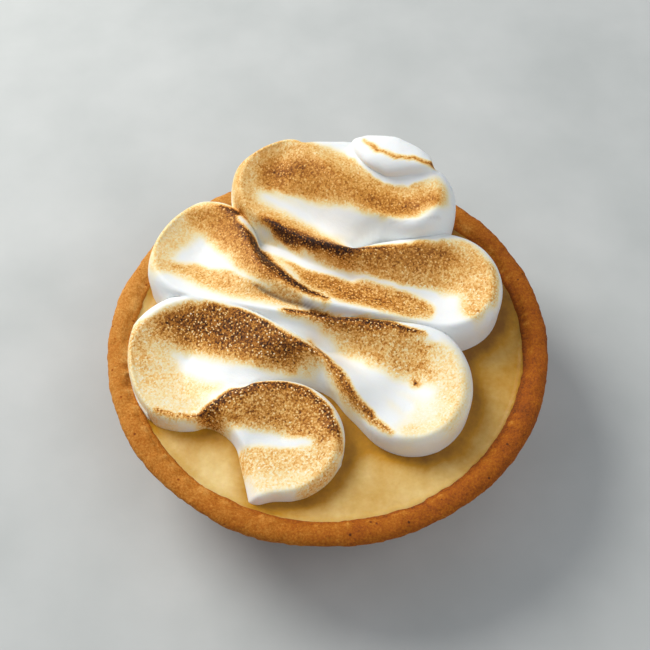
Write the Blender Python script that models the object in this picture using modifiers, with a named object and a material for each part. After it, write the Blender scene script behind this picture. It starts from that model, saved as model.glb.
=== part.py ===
"""A small lemon meringue tart: a turned pastry shell, its lemon curd and one piped ribbon of meringue."""

import math

import bmesh
import bpy
import numpy as np

MM = 0.001

# The pastry shell, a plain tapered cup.
SHELL_HEIGHT = 20 * MM
RIM_RADIUS = 40 * MM
BASE_RADIUS = 30 * MM
RIM_WIDTH = 3.6 * MM
BASE_THICKNESS = 3 * MM
EDGE_ROUNDING = 1.2 * MM
TURN_STEPS = 80

# The curd fills the shell to a little under its rim. Touching pieces keep a small gap.
CURD_TOP = 18 * MM
GAP = 0.3 * MM

# The meringue is one piped ribbon, in millimetres. Its crest winds round these lobes in turn,
# from back to front. Each is an ellipse: centre x and y, radius along x and y, the angles
# where the crest joins and leaves it, the heights over the curd of the crest there and of the
# floor of the dish inside it, and how far out the steep wall round it reaches.
LOBES = (
    (16.5, 22.0, 4.5, 5.9, 55, -110, 16.0, 13.2, 13.0, 4.0),
    (-7.6, 26.4, 8.0, 8.2, 80, 230, 16.8, 12.2, 10.6, 2.3),
    (21.6, 6.0, 8.3, 8.4, 115, -110, 10.8, 7.2, 5.4, 2.6),
    (-22.6, 14.2, 8.8, 9.6, 40, 265, 10.8, 8.4, 5.6, 2.4),
    (14.4, -13.1, 8.5, 10.0, 85, -150, 7.8, 4.7, 3.2, 2.4),
    (-24.6, -6.6, 10.6, 11.0, 75, 285, 8.6, 2.9, 2.3, 1.8),
    (-8.7, -22.1, 9.9, 9.2, 110, -80, 6.2, 3.0, 2.3, 1.7),
)
# Points that the crest passes between and after the lobes: x, y, its height over the curd,
# how dished its left and right sides are, how far a dished side sinks, and a steep one's reach.
WAISTS = (
    (
        (9.0, 18.3, 13.8, 0.75, 1, 0.04, 4.0),
        (1.5, 26.8, 16.2, 0.75, 0.95, 0.12, 5.0),
        (-2.6, 32.8, 16.8, 0.9, 0.9, 0.14, 5.0),
    ),
    (
        (-3.5, 13.8, 12.2, 0.8, 0.65, 0.42, 2.6),
        (4.0, 11.6, 12.0, 0.6, 0.75, 0.42, 3.0),
        (11.0, 11.6, 11.6, 0.1, 0.95, 0.42, 2.8),
    ),
    (
        (9.4, -0.4, 9.0, 0.1, 0.9, 0.42, 2.2),
        (-3.2, 2.0, 10.2, 0.55, 0.95, 0.42, 2.4),
        (-11.4, 8.8, 10.8, 0.9, 0.85, 0.42, 2.4),
    ),
    (
        (-9.5, 0.8, 9.0, 0.8, 0.2, 0.42, 2.2),
        (-1.0, -1.2, 9.0, 0.5, 0.5, 0.42, 2.4),
        (7.0, -2.2, 8.4, 0.1, 0.9, 0.42, 2.2),
    ),
    (
        (4.0, -14.9, 7.0, 0, 1, 0.42, 2.0),
        (0.0, -8.8, 8.0, 0.5, 0.6, 0.42, 2.2),
        (-8.2, -3.2, 8.5, 1, 0.1, 0.42, 2.0),
        (-15.3, 1.4, 8.6, 1, 0, 0.42, 2.0),
    ),
    (
        (-22.4, -17.2, 3.6, 1, 0, 0.42, 1.7),
        (-20.4, -16.0, 4.7, 1, 0.9, 0.42, 2.0),
        (-17.6, -14.4, 5.6, 0.9, 1, 0.42, 2.0),
        (-15.2, -13.7, 6.2, 0.55, 1, 0.6, 2.0),
    ),
)
TAIL = (
    (-9.0, -30.7, 2.8, 0, 1, 0, 1.5),
    (-10.2, -30.8, 2.7, 0, 1, -0.05, 1.6),
    (-11.5, -31.3, 2.3, 0, 1, -0.1, 1.7),
)
# The ribbon's start, a flat fold with a long slope below its front edge.
FOLD = (
    (6.4, 34.2, 16.8, 1, 0, 0, 6.0),
    (8.0, 32.0, 17.6, 1, 0, 0, 7.6),
    (10.2, 29.6, 18.0, 1, 0, 0, 8.6),
    (13.3, 28.2, 18.2, 1, 0, 0.02, 9.0),
    (16.4, 27.6, 18.0, 1, 0, 0.06, 8.2),
    (18.6, 26.9, 17.4, 1, 0, 0.1, 7.0),
    (20.0, 26.6, 16.8, 1, 0, 0.12, 6.0),
)
LOBE_STEPS = 18
ROUTE_STEP = 0.4
ROUTE_SMOOTHING = 30
FOLD_SMOOTHING = 8

# The ribbon's section. One side of the crest is a broad dish and the other a steep wall, and
# they change sides where the crest passes from one lobe to the next.
DISH_REACH = 13.5
DISH_POWER = 1.6
DISH_EDGE = 1.5
WALL_DROP = 1.5
LEAST_STEEP = 0.04
WALL_POWER = 1.9
CREST_POWER = 1.1
BACKWARD_LEAN = 0.5

# How a limb ends: at its own end, at the ribbon's start, and where it is cut from the next.
END_REACH = 2.0
TAIL_REACH = 2.4
START_REACH = 30
SEAM = 0.01
DISH_SEAM = 5
CREASE_FILL = 0.5

# A low mound lies under the middle limbs, and the ribbon stays within the rim.
BED_X = -5
BED_Y = 9
BED_RADIUS = 17
BED_HEIGHT = 8
BED_POWER = 4
OUTER_RADIUS = 37
OUTER_DROP = 6
BELOW_CURD = 3
LEAN_RADIUS = 34.5
LEAN = 0.5
REST_RADIUS = 35

# The floors of the dishes settle smooth, away from crests, steep sides, the edge and the curd.
SETTLED_PASSES = 22
CALM_PASSES = 6
CALM_FROM_CREST = (1.5, 4.5)
CALM_DISHED = (0.3, 0.8)
CALM_OVER_CURD = (1.5, 4)
CALM_WITHIN_EDGE = (-34, -30)

# The square grid that the ribbon is worked out over.
FIELD_SIZE = 80
FIELD_STEPS = 168
FIELD_SMOOTHING = 1
MERINGUE_TRIANGLES = 6400


def clear_scene():
    for item in list(bpy.data.objects):
        bpy.data.objects.remove(item, do_unlink=True)


def add_collection(name):
    collection = bpy.data.collections.new(name)
    bpy.context.scene.collection.children.link(collection)
    return collection


def add_object(name, mesh, collection, material):
    item = bpy.data.objects.new(name, mesh)
    collection.objects.link(item)
    mesh.materials.append(material)
    return item


def plain_material(name, colour, roughness):
    material = bpy.data.materials.new(name)
    material.use_nodes = True
    shader = material.node_tree.nodes["Principled BSDF"]
    shader.inputs["Base Color"].default_value = (*colour, 1)
    shader.inputs["Roughness"].default_value = roughness
    shader.inputs["Metallic"].default_value = 0
    material.diffuse_color = (*colour, 1)
    return material


def wall_radius(height):
    """Outer radius of the shell at a height."""
    return BASE_RADIUS + (RIM_RADIUS - BASE_RADIUS) * height / SHELL_HEIGHT


def inner_radius(height):
    """Inner radius of the shell at a height."""
    return wall_radius(height) - RIM_WIDTH


def arc(centre_x, centre_z, radius, start, end, steps):
    """Profile points along an arc, with its angles in degrees."""
    angles = [math.radians(start + (end - start) * i / steps) for i in range(steps + 1)]
    return [(centre_x + radius * math.cos(a), centre_z + radius * math.sin(a)) for a in angles]


def turned(name, profile, collection, material):
    """A solid turned round Z from (radius, height) points that end by running down its outer side."""
    mesh = bpy.data.meshes.new(name)
    edges = [(i, i + 1) for i in range(len(profile) - 1)]
    mesh.from_pydata([(radius, 0, height) for radius, height in profile], edges, [])
    item = add_object(name, mesh, collection, material)
    screw = item.modifiers.new("turn", "SCREW")
    screw.axis = "Z"
    screw.steps = TURN_STEPS
    screw.render_steps = TURN_STEPS
    screw.use_merge_vertices = True
    screw.merge_threshold = 0.01 * MM
    screw.use_smooth_shade = True
    return item


def make_shell(collection):
    pastry = plain_material("baked_pastry", (0.45, 0.21, 0.05), 0.75)
    rounding = EDGE_ROUNDING
    profile = [(0, BASE_THICKNESS), (inner_radius(BASE_THICKNESS), BASE_THICKNESS)]
    shoulder = RIM_RADIUS - RIM_WIDTH + rounding
    profile += arc(shoulder, SHELL_HEIGHT - rounding, rounding, 160, 90, 3)
    profile += arc(RIM_RADIUS - rounding, SHELL_HEIGHT - rounding, rounding, 90, -25, 5)
    profile += arc(BASE_RADIUS - rounding / 2, rounding / 2, rounding / 2, -25, -90, 2)
    profile.append((0, 0))
    return turned("crust", profile, collection, pastry)


def make_curd(collection):
    lemon = plain_material("lemon_curd", (0.72, 0.50, 0.20), 0.35)
    floor = BASE_THICKNESS + GAP
    profile = [
        (0, CURD_TOP),
        (inner_radius(CURD_TOP) - GAP, CURD_TOP),
        (inner_radius(floor) - GAP, floor),
        (0, floor),
    ]
    return turned("curd", profile, collection, lemon)


def ease(value, low, high):
    """0 below low, 1 above high and a smooth step between."""
    part = np.clip((value - low) / (high - low), 0, 1)
    return part * part * (3 - 2 * part)


def lobe_points(lobe, left, right):
    """Route points round one lobe, in the same columns as the points between lobes."""
    x, y, radius_x, radius_y, start, end, first_height, last_height, floor, reach = lobe
    parts = np.linspace(0, 1, LOBE_STEPS)
    angles = np.radians(start + (end - start) * parts)
    heights = first_height + (last_height - first_height) * parts
    across = x + radius_x * np.cos(angles)
    back = y + radius_y * np.sin(angles)
    sides = np.broadcast_to((left, right), (LOBE_STEPS, 2))
    reaches = np.full(LOBE_STEPS, reach)
    return np.column_stack([across, back, heights, sides, 1 - floor / heights, reaches])


def smooth_route(rough, smoothing):
    """Points at every step along a rough route, with its corners smoothed."""
    travelled = np.concatenate([[0], np.cumsum(np.hypot(*np.diff(rough[:, :2], axis=0).T))])
    places = np.arange(0, travelled[-1], ROUTE_STEP)
    route = np.stack([np.interp(places, travelled, column) for column in rough.T], 1)
    for _ in range(smoothing):
        route[1:-1] = (route[:-2] + 2 * route[1:-1] + route[2:]) / 4
    return route


def crest_route():
    """The whole ribbon's crest. Lobes lie right and left in turn, with the dish inside each."""
    pieces = []
    for lobe, after in zip(LOBES, (*WAISTS, TAIL)):
        on_left = lobe[5] > lobe[4]
        pieces.append(lobe_points(lobe, on_left, not on_left))
        pieces.append(after)
    return smooth_route(np.concatenate(pieces), ROUTE_SMOOTHING)


def limb_ends(route):
    """Where the route is cut into limbs: the middle of most lobes, and its own two ends."""
    cuts = [0]
    for lobe in LOBES[1:]:
        middle = math.radians((lobe[4] + lobe[5]) / 2)
        across = route[:, 0] - lobe[0] - lobe[2] * math.cos(middle)
        back = route[:, 1] - lobe[1] - lobe[3] * math.sin(middle)
        cuts.append(int(np.argmin(across**2 + back**2)))
    return [*cuts, len(route) - 1]


def section_height(crest, dished, depth, reach, distance):
    """Height of the ribbon's surface at a distance from its crest, below zero past its foot."""
    part = np.clip(distance / DISH_REACH, 0, 1)
    past = np.maximum(distance - DISH_REACH, 0) / DISH_EDGE
    dish = depth * (1 - (1 - part) ** DISH_POWER) + past**2
    power = CREST_POWER + (WALL_POWER - CREST_POWER) * np.abs(2 * dished - 1)
    steep = np.maximum(1 - dished, LEAST_STEEP)
    wall = np.minimum(distance / reach * steep, WALL_DROP) ** power
    return crest * (1 - dished * dish - wall)


def limb_surface(x, y, route, start, end, start_reach=END_REACH, last_reach=END_REACH):
    """The limb from one place on the route to another, over each point, in columns: height,
    distance from the crest, and how steep that side is."""
    limb = route[start : end + 1]
    nearest = np.argmin((x[:, None] - limb[:, 0]) ** 2 + (y[:, None] - limb[:, 1]) ** 2, axis=1)
    away_x = x - limb[nearest, 0]
    away_y = y - limb[nearest, 1]
    along = np.gradient(route[:, :2], axis=0)[nearest + start]
    along /= np.hypot(*along.T)[:, None]
    leftward = along[:, 0] * away_y - along[:, 1] * away_x
    forward = along[:, 0] * away_x + along[:, 1] * away_y
    _, _, crest, left, right, depth, reach = limb[nearest].T
    on_left = leftward > 0
    dished = np.where(on_left, left, right)
    backward = along[:, 0] * np.where(on_left, 1, -1)
    reach = reach * (1 + BACKWARD_LEAN * backward)
    height = section_height(crest, dished, depth, reach, np.abs(leftward))
    beyond = np.where(nearest == 0, -forward, np.where(nearest == end - start, forward, 0))
    end_reach = np.where(dished > 0.5, DISH_SEAM, SEAM)
    end_reach = np.where(nearest + start == len(route) - 1, last_reach, end_reach)
    end_reach = np.where(nearest + start == 0, start_reach, end_reach)
    height -= crest * (np.maximum(beyond, 0) / end_reach) ** 2
    return np.column_stack([height, np.abs(leftward), 1 - dished])


def ribbon_surface(x, y):
    """The whole meringue over each point, in columns: height over the curd, distance from the
    crest, and how steep that side is. Creases between limbs are a little filled."""
    route = crest_route()
    cuts = limb_ends(route)
    limbs = [
        limb_surface(x, y, route, start, end, START_REACH, TAIL_REACH)
        for start, end in zip(cuts, cuts[1:])
    ]
    fold = smooth_route(np.array(FOLD, float), FOLD_SMOOTHING)
    limbs.append(limb_surface(x, y, fold, 0, len(fold) - 1))
    best = np.zeros((len(x), 3))
    off_bed = np.hypot((x - BED_X) / BED_RADIUS, (y - BED_Y) / BED_RADIUS)
    best[:, 0] = BED_HEIGHT - (BED_HEIGHT + BELOW_CURD) * np.minimum(off_bed, 1) ** BED_POWER
    for limb in limbs:
        gap = np.abs(best[:, 0] - limb[:, 0])
        best = np.where((limb[:, 0] > best[:, 0])[:, None], limb, best)
        best[:, 0] += np.maximum(CREASE_FILL - gap, 0) ** 2 / (4 * CREASE_FILL)
    best[:, 0] -= OUTER_DROP * np.maximum(np.hypot(x, y) - OUTER_RADIUS, 0) ** 2
    best[:, 0] = np.maximum(best[:, 0], -BELOW_CURD)
    return best


def smoothed(values, passes):
    """Values over the square grid, with each averaged with those beside it."""
    field = values.reshape(FIELD_STEPS + 1, FIELD_STEPS + 1)
    for _ in range(passes):
        for axis in (0, 1):
            field = (np.roll(field, 1, axis) + 2 * field + np.roll(field, -1, axis)) / 4
    return field.ravel()


def meringue_heights(x, y):
    """Height over the curd at each corner of the grid, with the dishes' floors settled."""
    height, distance, steep = ribbon_surface(x, y).T
    height = smoothed(height, FIELD_SMOOTHING)
    settled = smoothed(height, SETTLED_PASSES)
    calm = ease(distance, *CALM_FROM_CREST) * ease(1 - steep, *CALM_DISHED)
    calm *= ease(settled, *CALM_OVER_CURD) * ease(-np.hypot(x, y), *CALM_WITHIN_EDGE)
    return height + (settled - height) * smoothed(calm, CALM_PASSES)


def lean_in(place):
    """Brings a corner of the ribbon that stands out past the rim nearer the middle."""
    radius = place.xy.length / MM
    if radius > LEAN_RADIUS:
        nearer = LEAN_RADIUS + LEAN * (radius - LEAN_RADIUS)
        place.xy *= nearer / radius
        if nearer > REST_RADIUS:
            place.z = max(place.z, SHELL_HEIGHT + GAP)


def make_meringue(collection):
    white = plain_material("toasted_meringue", (0.86, 0.80, 0.68), 0.6)
    base = CURD_TOP + GAP
    solid = bmesh.new()
    bmesh.ops.create_grid(
        solid, x_segments=FIELD_STEPS, y_segments=FIELD_STEPS, size=FIELD_SIZE * MM / 2
    )
    places = np.array([corner.co for corner in solid.verts]) / MM
    heights = meringue_heights(places[:, 0], places[:, 1])
    for corner, height in zip(solid.verts, heights):
        corner.co.z = base + height * MM
    everything = solid.verts[:] + solid.edges[:] + solid.faces[:]
    bmesh.ops.bisect_plane(
        solid, geom=everything, plane_co=(0, 0, base), plane_no=(0, 0, 1), clear_inner=True
    )
    foot = [edge for edge in solid.edges if edge.is_boundary]
    bmesh.ops.triangle_fill(solid, edges=foot, use_beauty=True)
    bmesh.ops.recalc_face_normals(solid, faces=solid.faces)
    for corner in solid.verts:
        lean_in(corner.co)
    mesh = bpy.data.meshes.new("meringue")
    solid.to_mesh(mesh)
    triangles = len(solid.calc_loop_triangles())
    solid.free()
    mesh.shade_smooth()
    item = add_object("meringue", mesh, collection, white)
    decimate = item.modifiers.new("fewer faces", "DECIMATE")
    decimate.ratio = MERINGUE_TRIANGLES / triangles
    return item


def main():
    clear_scene()
    tart = add_collection("lemon_meringue_tart")
    make_shell(tart)
    make_curd(tart)
    make_meringue(tart)


main()
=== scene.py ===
"""The looks of a small lemon meringue tart: crumbly pastry, set lemon curd and torched meringue."""

import math

import bpy
import numpy as np
from mathutils import Matrix, Vector

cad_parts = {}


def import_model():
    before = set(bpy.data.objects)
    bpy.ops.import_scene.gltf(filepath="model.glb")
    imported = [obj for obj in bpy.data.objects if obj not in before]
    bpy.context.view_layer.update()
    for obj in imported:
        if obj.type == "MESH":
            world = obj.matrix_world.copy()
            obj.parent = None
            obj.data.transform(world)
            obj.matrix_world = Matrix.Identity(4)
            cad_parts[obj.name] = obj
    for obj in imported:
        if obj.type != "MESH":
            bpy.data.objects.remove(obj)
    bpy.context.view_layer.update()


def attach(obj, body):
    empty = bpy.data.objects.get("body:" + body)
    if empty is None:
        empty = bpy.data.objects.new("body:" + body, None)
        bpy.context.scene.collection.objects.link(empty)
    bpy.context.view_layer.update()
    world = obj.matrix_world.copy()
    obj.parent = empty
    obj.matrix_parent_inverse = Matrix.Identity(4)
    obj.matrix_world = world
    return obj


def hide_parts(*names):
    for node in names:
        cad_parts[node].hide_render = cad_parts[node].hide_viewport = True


# Shapes are worked out in millimetres and written to meshes in metres.
MM = 0.001

# The pastry shell and the curd in it.
SHELL_HEIGHT = 20
RIM_RADIUS = 40
BASE_RADIUS = 30
RIM_WIDTH = 3.6
BASE_THICKNESS = 3
CURD_TOP = 18
WALL_SLOPE = (RIM_RADIUS - BASE_RADIUS) / SHELL_HEIGHT

# The shell's rim is part of an ellipse. A corner of its foot is how far out of the base's
# radius it lies, and its height.
RIM_ACROSS = 1.75
RIM_UP = 1.15
RIM_TURN = (165, -20, -12)
INNER_EDGE_DROP = 1.2
FOOT_CORNERS = ((0.3, 0.9), (-0.1, 0.25), (-0.8, 0))

# Unevenness of the baked shell: strength, size and seed of each layer of noise. It starts a
# little way up the inner wall, and the rim's wave a little way up the shell.
SHELL_LAYERS = ((0.3, 9, 11), (0.16, 3.5, 12), (0.11, 1.15, 13), (0.08, 0.55, 14))
UNEVEN_FROM = 2
RIM_WAVE = ((0.25, 14, 16),)
WAVE_FROM = 8

# Crumbs along the rim's inner edge, in a band below the top of the shell.
CRUMB_PLACE = RIM_RADIUS - RIM_WIDTH + 0.3
CRUMB_SPREAD = 0.7
CRUMB_SIZE = 0.95
CRUMB_SEED = 15
CRUMB_DEPTH = 0.45
CRUMB_BAND = (-3, -1)

# How browned the shell is: everywhere, darker low down and less on crumbs, with painted shade
# that makes it darker to the right and on the inner wall.
BAKED = 0.46
CRUST_SHADE_TO_RIGHT = 0.2
DARKER_LOW = 0.12
LOW_BETWEEN = (2, 18)
CRUST_SHADE_INSIDE = 0.12
BAKED_CRUMBS = 0.34

# How far the curd and its edge reach into the shell, so that no gap shows.
CURD_REACH = 0.7
CURD_FLOOR_REACH = 0.5
CURD_FLOOR_SINK = 0.3
CURD_MIDDLE = 0.01
CURD_ROWS = 110
CURD_LAYERS = ((0.07, 6, 21), (0.03, 2, 22))
CURD_CLIMB = 0.3
CURD_EDGE = (-2.2, -0.6)

# How deep the curd's colour is: everywhere and at its edge, with painted shadow cast by the
# meringue and painted shade on the right.
DEEP = 0.42
DEEP_LAYERS = ((0.12, 8, 23),)
DEEP_EDGE = 0.1
CURD_CAST_SHADOW = 0.4
CURD_SHADE_TO_RIGHT = 0.2
CURD_SHADE_BETWEEN = (14, 32)

# The meringue's crest winds round these lobes in turn, from back to front. Each is an
# ellipse: centre x and y, radius along x and y, the angles where the crest joins and leaves
# it, the heights over the curd of the crest there and of the floor of the dish inside it, and
# how far out the steep wall round it reaches.
LOBES = (
    (16.5, 22.0, 4.5, 5.9, 55, -110, 16.0, 13.2, 13.0, 4.0),
    (-7.6, 26.4, 8.0, 8.2, 80, 230, 16.8, 12.2, 10.6, 2.3),
    (21.6, 6.0, 8.3, 8.4, 115, -110, 10.8, 7.2, 5.4, 2.6),
    (-22.6, 14.2, 8.8, 9.6, 40, 265, 10.8, 8.4, 5.6, 2.4),
    (14.4, -13.1, 8.5, 10.0, 85, -150, 7.8, 4.7, 3.2, 2.4),
    (-24.6, -6.6, 10.6, 11.0, 75, 285, 8.6, 2.9, 2.3, 1.8),
    (-8.7, -22.1, 9.9, 9.2, 110, -80, 6.2, 3.0, 2.3, 1.7),
)
# Points that the crest passes between and after the lobes: x, y, its height over the curd,
# how dished its left and right sides are, how far a dished side sinks, and a steep one's reach.
WAISTS = (
    (
        (9.0, 18.3, 13.8, 0.75, 1, 0.04, 4.0),
        (1.5, 26.8, 16.2, 0.75, 0.95, 0.12, 5.0),
        (-2.6, 32.8, 16.8, 0.9, 0.9, 0.14, 5.0),
    ),
    (
        (-3.5, 13.8, 12.2, 0.8, 0.65, 0.42, 2.6),
        (4.0, 11.6, 12.0, 0.6, 0.75, 0.42, 3.0),
        (11.0, 11.6, 11.6, 0.1, 0.95, 0.42, 2.8),
    ),
    (
        (9.4, -0.4, 9.0, 0.1, 0.9, 0.42, 2.2),
        (-3.2, 2.0, 10.2, 0.55, 0.95, 0.42, 2.4),
        (-11.4, 8.8, 10.8, 0.9, 0.85, 0.42, 2.4),
    ),
    (
        (-9.5, 0.8, 9.0, 0.8, 0.2, 0.42, 2.2),
        (-1.0, -1.2, 9.0, 0.5, 0.5, 0.42, 2.4),
        (7.0, -2.2, 8.4, 0.1, 0.9, 0.42, 2.2),
    ),
    (
        (4.0, -14.9, 7.0, 0, 1, 0.42, 2.0),
        (0.0, -8.8, 8.0, 0.5, 0.6, 0.42, 2.2),
        (-8.2, -3.2, 8.5, 1, 0.1, 0.42, 2.0),
        (-15.3, 1.4, 8.6, 1, 0, 0.42, 2.0),
    ),
    (
        (-22.4, -17.2, 3.6, 1, 0, 0.42, 1.7),
        (-20.4, -16.0, 4.7, 1, 0.9, 0.42, 2.0),
        (-17.6, -14.4, 5.6, 0.9, 1, 0.42, 2.0),
        (-15.2, -13.7, 6.2, 0.55, 1, 0.6, 2.0),
    ),
)
TAIL = (
    (-9.0, -30.7, 2.8, 0, 1, 0, 1.5),
    (-10.2, -30.8, 2.7, 0, 1, -0.05, 1.6),
    (-11.5, -31.3, 2.3, 0, 1, -0.1, 1.7),
)
# The ribbon's start, a flat fold whose front edge is a toasted ridge with a white face below.
FOLD = (
    (6.4, 34.2, 16.8, 1, 0, 0, 6.0),
    (8.0, 32.0, 17.6, 1, 0, 0, 7.6),
    (10.2, 29.6, 18.0, 1, 0, 0, 8.6),
    (13.3, 28.2, 18.2, 1, 0, 0.02, 9.0),
    (16.4, 27.6, 18.0, 1, 0, 0.06, 8.2),
    (18.6, 26.9, 17.4, 1, 0, 0.1, 7.0),
    (20.0, 26.6, 16.8, 1, 0, 0.12, 6.0),
)
LOBE_STEPS = 18
ROUTE_STEP = 0.4
ROUTE_SMOOTHING = 30
FOLD_SMOOTHING = 8

# The ribbon's section. One side of the crest is a broad dish and the other a steep wall, and
# they change sides where the crest passes from one lobe to the next.
DISH_REACH = 13.5
DISH_POWER = 1.6
DISH_EDGE = 1.5
WALL_DROP = 1.5
LEAST_STEEP = 0.04
WALL_POWER = 1.9
CREST_POWER = 1.1
END_REACH = 2.0
TAIL_REACH = 2.4
START_REACH = 30
SEAM = 0.01
DISH_SEAM = 5
BACKWARD_LEAN = 0.5

# A mound under the ribbon's middle, so that no hole is left between limbs.
BED_X = -5
BED_Y = 9
BED_RADIUS = 17
BED_HEIGHT = 8
BED_POWER = 4

# Where limbs meet, and how walls bulge over their feet. A limb that meets no other stands
# alone by this much.
CREASE_FILL = 0.5
ALONE = 20.0
UNDERCUT_ANGLE = 125
UNDERCUT_REACH = 1.3
UNDERCUT_FROM = 0.4
UNDERCUT_FULL = 2.2

# The meringue's edge over the rim. Past one radius it falls away, past another it leans in,
# and past a third it rests on the rim.
OUTER_RADIUS = 37
OUTER_DROP = 6
BELOW_CURD = 2
LEAN_RADIUS = 34.5
LEAN = 0.5
REST_RADIUS = 35
REST_GAP = 0.2

# Dished faces are calmed: smoothed more, from a distance past the crest and in from the edge.
SMOOTHED_AREA = 0.12
SETTLED_AREA = 90 * 0.235**2
CALM_PASSES = 6
CALM_FROM_CREST = (1.5, 4.5)
CALM_DISHED = (0.3, 0.8)
CALM_OVER_CURD = (1.5, 4)
CALM_WITHIN_EDGE = (-34, -30)
SWELL_LAYERS = ((0.14, 7, 3), (0.05, 2.2, 4))

# Edges of toasting wander across and back. Steep walls are white from a little past the crest.
WANDER_LAYERS = (((0.45, 3.5, 31), (0.2, 1.2, 33)), ((0.45, 3.5, 32), (0.2, 1.2, 34)))
WANDER_AT_CREST = 0.3
UNTOASTED_STEEP = (0.5, 0.9)
UNTOASTED_PAST = (0.6, 1.8)

# Speckles are coarser towards the front, from one y to another.
COARSE = 0.75
COARSER = 0.4
COARSE_BETWEEN = (-20, 2)

# Painted shadow that the meringue casts on the curd round its foot: how far it spreads, how far
# it lies to the right and front, and how near the foot it starts and is full.
SHADOW_SPREAD = 2.2
SHADOW_SHIFT = 0.7
SHADOW_BETWEEN = (0.02, 0.6)

# Sizes of the meshes. The meringue is a square grid, worked out in batches to save memory.
FIELD_SIZE = 80
FIELD_STEPS = 340
CELL = FIELD_SIZE / FIELD_STEPS
BATCHES = 40
CRUST_ROWS = 100
CRUST_TURNS = 600
CURD_TURNS = 240

# Colours from pale to dark, as places on a ramp and web colours.
MERINGUE_COLOURS = (
    (0.0, "#f3f5f3"),
    (0.1, "#faf2da"),
    (0.24, "#fae1a6"),
    (0.38, "#f3c477"),
    (0.54, "#da9840"),
    (0.7, "#ab681b"),
    (0.86, "#63350e"),
    (1.0, "#291406"),
)
# Painted shade in the creases of folds where limbs cross.
CREASE_SHADE_COLOUR = "#6b5540"
CRUST_COLOURS = (
    (0.0, "#e8ab58"),
    (0.25, "#cf8732"),
    (0.5, "#b26508"),
    (0.65, "#a25203"),
    (0.8, "#864205"),
    (1.0, "#5c2c04"),
)
CURD_COLOURS = (
    (0.0, "#fbebc2"),
    (0.25, "#f0d592"),
    (0.5, "#d8b062"),
    (0.75, "#bf8714"),
    (1.0, "#885804"),
)
FLOOR_COLOURS = ((0.3, "#b9bcb9"), (0.7, "#c6c8c5"))

# How far red, green and blue light scatter in each food, in millimetres.
MERINGUE_DEPTH = (1.2, 1.0, 0.8)
CRUST_DEPTH = (0.8, 0.4, 0.15)
CURD_DEPTH = (2.4, 1.6, 0.5)

# The camera looks down at the tart from the front. Angles are in degrees, places in metres,
# and the lens and sensor in millimetres.
CAMERA_TILT = 56.79
CAMERA_ROLL = -1.32
CAMERA_DISTANCE = 0.1826
CAMERA_TARGET = (-0.0003, 0.00189, 0.020)
CAMERA_LENS = 55.38
CAMERA_SENSOR = 36

# Lights: place, size, power and colour. Both point at the tart's middle.
WINDOW = ((-0.30, 0.26, 0.34), 0.30, 2.6, (1.0, 0.985, 0.96))
FILL = ((0.30, -0.20, 0.40), 0.5, 0.8, (1.0, 0.98, 0.95))
LIT_PLACE = (0, 0, 0.02)
SKY_COLOUR = (0.80, 0.88, 1.0, 1)
SKY_STRENGTH = 0.34
FLOOR_HALF = 0.6


# ---- Noise ----


def cell_value(cells, seed):
    """A steady number from 0 to 1 for each cell, given as rows of whole x, y and z."""
    x, y, z = cells.T
    mixed = (x * 73856093) ^ (y * 19349663) ^ (z * 83492791) ^ (seed * 265443576)
    mixed = (mixed ^ (mixed >> 13)) * 1274126177
    return ((mixed ^ (mixed >> 16)) & 0xFFFF) / 0xFFFF


def noise(points, size, seed):
    """Smooth noise from -1 to 1 at rows of x, y and z, with cells of a size in millimetres."""
    scaled = points / size + 1000
    low = np.floor(scaled).astype(np.int64)
    part = scaled - low
    part = part * part * (3 - 2 * part)
    total = np.zeros(len(points))
    for corner in range(8):
        step = np.array([corner & 1, corner >> 1 & 1, corner >> 2])
        weight = np.prod(np.where(step == 1, part, 1 - part), axis=1)
        total += weight * cell_value(low + step, seed)
    return 2 * total - 1


def unevenness(points, layers):
    """Layers of noise added up, each given as a strength, a size and a seed."""
    return sum(strength * noise(points, size, seed) for strength, size, seed in layers)


def ease(value, low, high):
    """0 below low, 1 above high and a smooth step between."""
    part = np.clip((value - low) / (high - low), 0, 1)
    return part * part * (3 - 2 * part)


# ---- The ribbon ----


def lobe_points(lobe, left, right):
    """Route points round one lobe, in the same columns as the points between lobes."""
    x, y, radius_x, radius_y, start, end, first_height, last_height, floor, reach = lobe
    parts = np.linspace(0, 1, LOBE_STEPS)
    angles = np.radians(start + (end - start) * parts)
    heights = first_height + (last_height - first_height) * parts
    across = x + radius_x * np.cos(angles)
    back = y + radius_y * np.sin(angles)
    sides = np.broadcast_to((left, right), (LOBE_STEPS, 2))
    reaches = np.full(LOBE_STEPS, reach)
    return np.column_stack([across, back, heights, sides, 1 - floor / heights, reaches])


def smooth_route(rough, smoothing):
    """Points at every step along a rough route, with its corners smoothed."""
    travelled = np.concatenate([[0], np.cumsum(np.hypot(*np.diff(rough[:, :2], axis=0).T))])
    places = np.arange(0, travelled[-1], ROUTE_STEP)
    route = np.stack([np.interp(places, travelled, column) for column in rough.T], 1)
    for _ in range(smoothing):
        route[1:-1] = (route[:-2] + 2 * route[1:-1] + route[2:]) / 4
    return route


def crest_route():
    """The whole ribbon's crest. Lobes lie right and left in turn, with the dish inside each."""
    pieces = []
    for lobe, after in zip(LOBES, (*WAISTS, TAIL)):
        on_left = lobe[5] > lobe[4]
        pieces.append(lobe_points(lobe, on_left, not on_left))
        pieces.append(after)
    return smooth_route(np.concatenate(pieces), ROUTE_SMOOTHING)


def limb_ends(route):
    """Where the route is cut into limbs: the middle of most lobes, and its own two ends."""
    cuts = [0]
    for lobe in LOBES[1:]:
        middle = math.radians((lobe[4] + lobe[5]) / 2)
        across = route[:, 0] - lobe[0] - lobe[2] * math.cos(middle)
        back = route[:, 1] - lobe[1] - lobe[3] * math.sin(middle)
        cuts.append(int(np.argmin(across**2 + back**2)))
    return [*cuts, len(route) - 1]


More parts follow.
